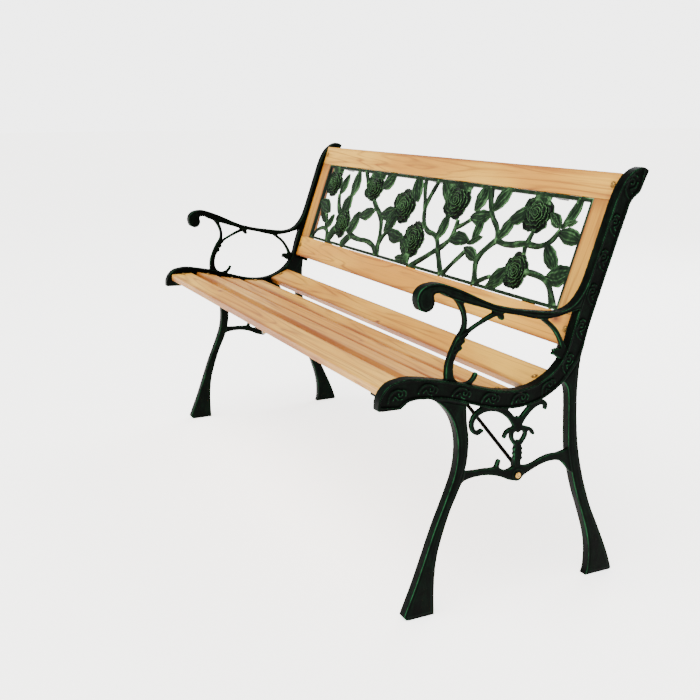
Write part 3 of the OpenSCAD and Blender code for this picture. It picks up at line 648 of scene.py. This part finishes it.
def leaf_shape(shape, x, z, length, width, angle):
    """A cambered leaf with a sunk midrib and ridges along it; broad ones have side veins too."""
    turn = math.radians(angle)
    cos, sin = math.cos(turn), math.sin(turn)
    slender = length / width > 2.3
    rows, columns = 26, 21
    length, width = length * 1.05, width * LEAF_SWELL
    bend = 0.06 * length * math.cos(x * 0.3)
    front = []
    for i in range(rows):
        t = i / (rows - 1)
        ragged = 1 + 0.04 * math.sin(t * 23 + x) + 0.03 * math.sin(t * 9 + z)
        half = width / 2 * max(0.02, math.sin(math.pi * t) ** 0.75) * ragged
        line = []
        for j in range(columns):
            v = 2 * j / (columns - 1) - 1
            along = (t - 0.5) * length
            across = v * half + bend * math.sin(math.pi * t)
            rise = 1.9 * (1 - v * v) ** 0.6 * math.sin(math.pi * t) ** 0.5
            rise -= 1.3 * math.exp(-(v / 0.13) ** 2) * (1 - t * 0.5)
            ridge = 5 * math.pi * v + 2.5 * noise.noise((t * 3, v * 2, x * 0.1))
            rise += 0.5 * math.cos(ridge) * (1 - v * v)
            if not slender:
                rise += 0.2 * math.cos(math.tau * (6 * t - 1.6 * abs(v))) * (1 - v * v)
            rise += 0.7 * math.sin(3 * t + x) * v
            line.append((x + along * cos - across * sin, z + along * sin + across * cos,
                         1.6 - rise))
        back = [(p[0], p[1], 5.0) for p in (line[-1], line[len(line) // 2], line[0])]
        front.append(line + back)
    shape.add_rings(front)


def rose_shape(shape, x, z, width, height, seed):
    """An open rose: each layer's petals rise from a hollow to a lip that hides the next."""
    rings = []

    def ring(share, lift, layer, petals, along):
        points = []
        turn = seed * 1.3 + layer * 0.9
        for k in range(ROSE_SIDES):
            a = math.tau * k / ROSE_SIDES
            lobe = abs(math.cos(petals * (a - turn) / 2)) ** 0.6
            reach = ROSE_SWELL * share * (0.82 + 0.18 * lobe)
            reach += share * 0.09 * noise.noise((3 * math.cos(a), 3 * math.sin(a), seed + layer))
            reach += share * 0.1 * noise.noise((8 * math.cos(a), 8 * math.sin(a), seed * 3))
            overlap = ((petals * (a - turn) / math.tau + 0.5) % 1) - 0.5
            tall = lift + 0.9 * overlap * along
            tall += 0.35 * along * noise.noise((5 * math.cos(a), 5 * math.sin(a), seed * 2))
            points.append((x + width / 2 * reach * math.cos(a),
                           z + height / 2 * reach * math.sin(a), 3.5 - tall))
        rings.append(points)

    ring(0.9, -3.5, 0, PETALS[0][3], 0.0)
    ring(0.97, -1.0, 0, PETALS[0][3], 0.0)
    for layer, (share, hollow, lip, petals) in enumerate(PETALS):
        inside = PETALS[layer + 1][0] if layer + 1 < len(PETALS) else 0.05
        ring(share * 1.01, lip - 1.1, layer, petals, 1.0)
        ring(share, lip - 0.3, layer, petals, 1.0)
        for t in (0.96, 0.86, 0.7, 0.45, 0.2, 0.0):
            level = hollow + (lip - hollow) * t ** 1.6
            ring(inside + (share - inside) * t, level, layer, petals, t)
    ring(0.02, PETALS[-1][1] - 0.3, 9, 2, 0.0)
    shape.add_rings(rings)


def rim_shape(shape):
    """The panel's moulded rim, with mitred corners."""
    profile = [(0, 1.2), (0.8, 0.3), (2.0, 0.0), (3.4, 0.5), (4.4, 0.3), (5.6, 0.2), (6.6, 0.9),
               (RIM_W, 2.2), (RIM_W, PANEL_T - 1), (RIM_W - 1, PANEL_T), (1, PANEL_T),
               (0, PANEL_T - 1)]
    corners = [(-1, -1), (1, -1), (1, 1), (-1, 1)]
    rings = []
    for k in range(4):
        (ax, az), (bx, bz) = corners[k], corners[(k + 1) % 4]
        steps = 40 if az == bz else 10
        for i in range(steps):
            t = i / steps
            sx, sz = ax + (bx - ax) * t, az + (bz - az) * t
            rings.append([((DRAWN_HALF_W - inset) * sx, (DRAWN_HALF_H - inset) * sz, depth)
                          for inset, depth in profile])
    rings.append(rings[0])
    shape.add_rings([ring[::-1] for ring in rings], cap_start=False, cap_end=False)


def lug_shapes(shape):
    """The screw lugs behind the rim: a plate on the wood's back and a foot into the opening."""
    top = DRAWN_HALF_H + LUG_REACH
    outline = [(DRAWN_HALF_H - RIM_W, RIM_W), (DRAWN_HALF_H - 0.3, RIM_W),
               (DRAWN_HALF_H - 0.3, LUG_FRONT), (top - 0.5, LUG_FRONT), (top, LUG_FRONT + 0.5),
               (top, LUG_BACK - 0.6), (top - 0.6, LUG_BACK),
               (DRAWN_HALF_H - RIM_W + 0.6, LUG_BACK), (DRAWN_HALF_H - RIM_W, LUG_BACK - 0.6)]
    middle = np.mean(outline, axis=0)
    for x in LUG_X:
        for side in (1, -1):
            rings = []
            for edge, share in ((-1, 0.96), (-0.94, 1), (0.94, 1), (1, 0.96)):
                rings.append([(x + edge * LUG_HALF_W,
                               side * (middle[0] + share * (up - middle[0])),
                               middle[1] + share * (depth - middle[1])) for up, depth in outline])
            shape.add_rings(rings)


def bench_back():
    """The back's up direction, depth direction and panel centre, from the wooden rails."""
    points = node_points("back_top_rail")
    up, _ = board_axes(points, X)
    behind = np.array((0.0, up[2], -up[1]))
    low_rail = node_points("back_bottom_rail")
    middle = ((low_rail @ up).max() + (points @ up).min()) / 2
    return up, behind, up * middle + behind * (points @ behind).min()


def rose_panel():
    shape = Shape()
    rim_shape(shape)
    lug_shapes(shape)
    for i, stem in enumerate(STEMS):
        stem_shape(shape, stem, i)
    for leaf in LEAVES:
        leaf_shape(shape, *leaf)
    for i, rose in enumerate(ROSES):
        rose_shape(shape, *rose, i)
    up, behind, centre = bench_back()
    low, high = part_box("rose_panel")
    wide = (high[0] - low[0]) / (2 * DRAWN_HALF_W * MM)
    flat = np.array(shape.points) * MM
    points = (centre + np.outer(flat[:, 0] * wide, X) + np.outer(flat[:, 1], up)
              + np.outer(flat[:, 2], behind))
    faces = [face[::-1] for face in shape.faces]
    piece = make_piece("rose_panel_casting", points, faces, rose_paint,
                       ["rose_panel"])
    tidy = bmesh.new()
    tidy.from_mesh(piece.data)
    bmesh.ops.recalc_face_normals(tidy, faces=tidy.faces)
    tidy.to_mesh(piece.data)
    tidy.free()
    piece.data.shade_smooth()
    depth = flat[:, 2] / MM
    # Painted highlight on forward relief and painted shade on deep parts, with only a share of it on
    # the back
    light_and_wear = edge_light_and_wear(piece.data, 1, 1.6) + 0.2 * np.clip((2 - depth) / 5, -1, 1)
    light_and_wear[depth > PANEL_T / 2] *= REAR_LIGHT_AND_WEAR
    add_attribute(piece.data, "light_and_wear", "FLOAT", np.clip(light_and_wear, 0, 1))
    return piece


# ---- fasteners ---------------------------------------------------------------------------


def islands(node):
    """The points of each separate solid in a node."""
    mesh, work = welded(node)
    groups, seen = [], set()
    for start in work.verts:
        if start in seen:
            continue
        seen.add(start)
        stack, group = [start], []
        while stack:
            v = stack.pop()
            group.append(np.array(v.co))
            for e in v.link_edges:
                other = e.other_vert(v)
                if other not in seen:
                    seen.add(other)
                    stack.append(other)
        groups.append(np.array(group))
    work.free()
    bpy.data.meshes.remove(mesh)
    return groups


def turned(shape, origin, axis, profile, sides=32, recess=None):
    """A turned part: the profile is [radius, height] in metres, from the foot to the top."""
    axis = axis / np.linalg.norm(axis)
    side = np.cross(axis, X if abs(axis[0]) < 0.9 else np.array((0.0, 1.0, 0.0)))
    side /= np.linalg.norm(side)
    other = np.cross(axis, side)
    rings = []
    for radius, height in profile:
        ring = []
        for k in range(sides):
            a = math.tau * k / sides
            across, along = radius * math.cos(a), radius * math.sin(a)
            sink = recess(across, along) if recess else 0.0
            ring.append(origin + side * across + other * along + axis * (height - sink))
        rings.append(ring)
    shape.add_rings(rings)


# A bolt's head and thread root, as shares of its radius
HEAD_WIDE, HEAD_TALL, THREAD_ROOT = 1.6, 0.88, 0.86
THREAD_EDGES, THREAD_STEP, THREAD_START, THREAD_END = 14, 0.4 * MM, 1 * MM, 7 * MM
CROSS_DEPTH = 0.9 * MM


def bolt_profile(radius, foot):
    """A bolt's radii and heights up to its head's rim, and then those of the head's dome."""
    head_r, head_h = radius * HEAD_WIDE, radius * HEAD_TALL
    shank = [(0.2 * MM, foot), (radius * 0.7, foot), (radius * 0.95, foot + 0.6 * MM)]
    for k in range(THREAD_EDGES):
        shank.append((radius * (1.0 if k % 2 else THREAD_ROOT),
                      foot + THREAD_START + k * THREAD_STEP))
    shank += [(radius, foot + THREAD_END), (radius, -head_h), (head_r, -head_h)]
    dome = [(head_r * math.cos(t), -head_h + head_h * math.sin(t) * 0.98)
            for t in np.linspace(0.15, 1.5, 14)]
    return shank, dome


def cross_recess(size):
    """A function that says how far a driver's cross sinks a head of that size at a place."""
    def sink(a, b):
        short, long = sorted((abs(a), abs(b)))
        return CROSS_DEPTH if short < size * 0.14 and long < size * 0.6 else 0.0
    return sink


def bolts(name, node, washers, radius):
    """Domed cross-head bolts with a threaded tail, one for each bolt in the node."""
    shape = Shape()
    seats = [group.mean(axis=0) for group in islands(washers)]
    for group in islands(node):
        centre = group.mean(axis=0)
        spread = np.linalg.svd(group - centre)[2][0]
        seat = min(seats, key=lambda s: np.linalg.norm(s - centre))
        axis = spread if (seat - centre) @ spread > 0 else -spread
        top = (group @ axis).max()
        foot = (group @ axis).min() - top
        origin = seat + axis * (top - seat @ axis)
        shank, dome = bolt_profile(radius, foot)
        turned(shape, origin, axis, shank, 32)
        turned(shape, origin, axis, dome, 48, cross_recess(radius * HEAD_WIDE))
    return make_piece(name, shape.points, shape.faces, brass_plate, [node])


# ---- the bench ---------------------------------------------------------------------------

iron_paint = cast_paint("cast_iron_paint", rgb(1, 2, 1), rgb(5, 17, 9), rgb(25, 66, 39),
                        (0.4, 0.8), (0.74, 1.02), 0.02)
rose_paint = cast_paint("rose_paint", rgb(3, 6, 4), rgb(18, 36, 20), rgb(74, 112, 70),
                        (0.36, 0.7), (0.6, 0.98), 0.05)
brass_plate = plated("brass_plate", rgb(172, 130, 62), rgb(64, 44, 18), 0.22)
zinc_plate = plated("zinc_plate", rgb(168, 166, 158), rgb(98, 94, 88), 0.35)

end_frame("end_frame_right_casting", "end_frame_right", 1)
end_frame("end_frame_left_casting", "end_frame_left", -1)

SLAT_LOOKS = [
    {"tone": 1.0, "knots": [(-0.31, 0.012, 0.006)]},
    {"tone": 0.98, "knots": []},
    {"tone": 1.02, "knots": [(0.22, -0.01, 0.005)]},
    {"tone": 0.97, "knots": []},
    {"tone": 0.95, "knots": [(0.04, -0.024, 0.005)]},
]
for i, look in enumerate(SLAT_LOOKS):
    board(f"seat_slat_{i + 1}_board", f"seat_slat_{i + 1}", X, 2 + i * 5, "slat_wood", **look)
board("back_top_rail_board", "back_top_rail", X, 31, "rail_wood", tone=0.97)
board("back_bottom_rail_board", "back_bottom_rail", X, 38, "rail_wood", tone=1.1,
      knots=[(0.545, 0.012, 0.009)])
back_up, _, _ = bench_back()
# The stiles are set darker than the rails as painted shade
board("back_stile_left_board", "back_stile_left", back_up, 45, "rail_wood", tone=0.86)
board("back_stile_right_board", "back_stile_right", back_up, 52, "rail_wood", tone=0.8)

rose_panel()
BOLT_RADIUS = 2.5 * MM
bolts("seat_bolt_set", "seat_bolts", "seat_washers", BOLT_RADIUS)
bolts("back_bolt_set", "back_bolts", "back_washers", BOLT_RADIUS)
for node in ("seat_washers", "back_washers"):
    eased_copy(node + "_pressed", node, 0.25 * MM, brass_plate)
for node in ("seat_nuts", "back_nuts", "tie_rod_nuts", "tie_rod_screws", "panel_screws"):
    eased_copy(node + "_plated", node, 0.35 * MM, zinc_plate)
eased_copy("tie_rod_bolts_plated", "tie_rod_bolts", 0.4 * MM, brass_plate)
for node in ("tie_rod_left", "tie_rod_right"):
    eased_copy(node + "_forged", node, 0.5 * MM, iron_paint)
dowel_pine = wood("dowel_pine", 60)
eased_copy("stile_dowels_turned", "stile_dowels", 0.5 * MM, dowel_pine)

# ---- stage, lights and camera ------------------------------------------------------------

FLOOR_RADIUS, FLOOR_SIDES = 30.0, 64
CAMERA_PLACE = (1.888, -0.913, 0.831)
CAMERA_ANGLES = (75.85, 0.37, 64.33)
LENS = 50.56
# The world's strength as light and as seen, and the floor's own glow that evens it with that
AMBIENT, BACKDROP, FLOOR_GLOW = 1.0, 4.4, 2.0


def add_floor():
    shape = Shape()
    turns = [math.tau * k / FLOOR_SIDES for k in range(FLOOR_SIDES)]
    rings = []
    for radius in (0.5, 2, 5, 12, FLOOR_RADIUS):
        rings.append([np.array((radius * math.cos(a), radius * math.sin(a), 0)) for a in turns])
    shape.add_rings(rings, cap_end=False)
    mesh = bpy.data.meshes.new("floor")
    mesh.from_pydata([tuple(p) for p in shape.points], [], shape.faces)
    mesh.materials.append(pale_floor())
    floor = bpy.data.objects.new("floor", mesh)
    bpy.context.scene.collection.objects.link(floor)


def add_light(name, kind, place, power, spread, colour=(1, 1, 1)):
    """A soft sun, spread in degrees, or a round softbox, spread in metres, aimed at the bench."""
    light = bpy.data.lights.new(name, kind)
    if kind == "SUN":
        light.angle = math.radians(spread)
    else:
        light.shape = "DISK"
        light.size = spread
    light.energy = power
    light.color = colour
    lamp = bpy.data.objects.new(name, light)
    lamp.location = place
    aim = Vector((0, 0, 0.4)) - Vector(place)
    lamp.rotation_euler = aim.to_track_quat("-Z", "Y").to_euler()
    bpy.context.scene.collection.objects.link(lamp)


def add_camera():
    data = bpy.data.cameras.new("camera")
    data.lens = LENS
    data.sensor_width = 36
    camera = bpy.data.objects.new("camera", data)
    camera.location = CAMERA_PLACE
    camera.rotation_euler = Euler([math.radians(a) for a in CAMERA_ANGLES])
    bpy.context.scene.collection.objects.link(camera)
    bpy.context.scene.camera = camera


def add_world():
    world = bpy.data.worlds.new("studio")
    world.use_nodes = True
    shade = world.node_tree.nodes["Background"]
    shade.inputs["Color"].default_value = (1.0, 1.0, 0.99, 1.0)
    path = world.node_tree.nodes.new("ShaderNodeLightPath")
    backdrop = world.node_tree.nodes.new("ShaderNodeMapRange")
    backdrop.inputs["To Min"].default_value = AMBIENT
    backdrop.inputs["To Max"].default_value = BACKDROP
    world.node_tree.links.new(path.outputs["Is Camera Ray"], backdrop.inputs["Value"])
    world.node_tree.links.new(backdrop.outputs[0], shade.inputs["Strength"])
    bpy.context.scene.world = world


add_floor()
add_light("key_sun", "SUN", (0.6, -2.0, 4.4), 5.0, 50, (1.0, 0.985, 0.96))
add_light("fill_softbox", "AREA", (3.2, -2.0, 1.9), 70, 1.8)
add_light("rim_softbox", "AREA", (-1.6, 2.4, 2.6), 90, 2.0, (0.93, 0.98, 1.0))
add_camera()
add_world()
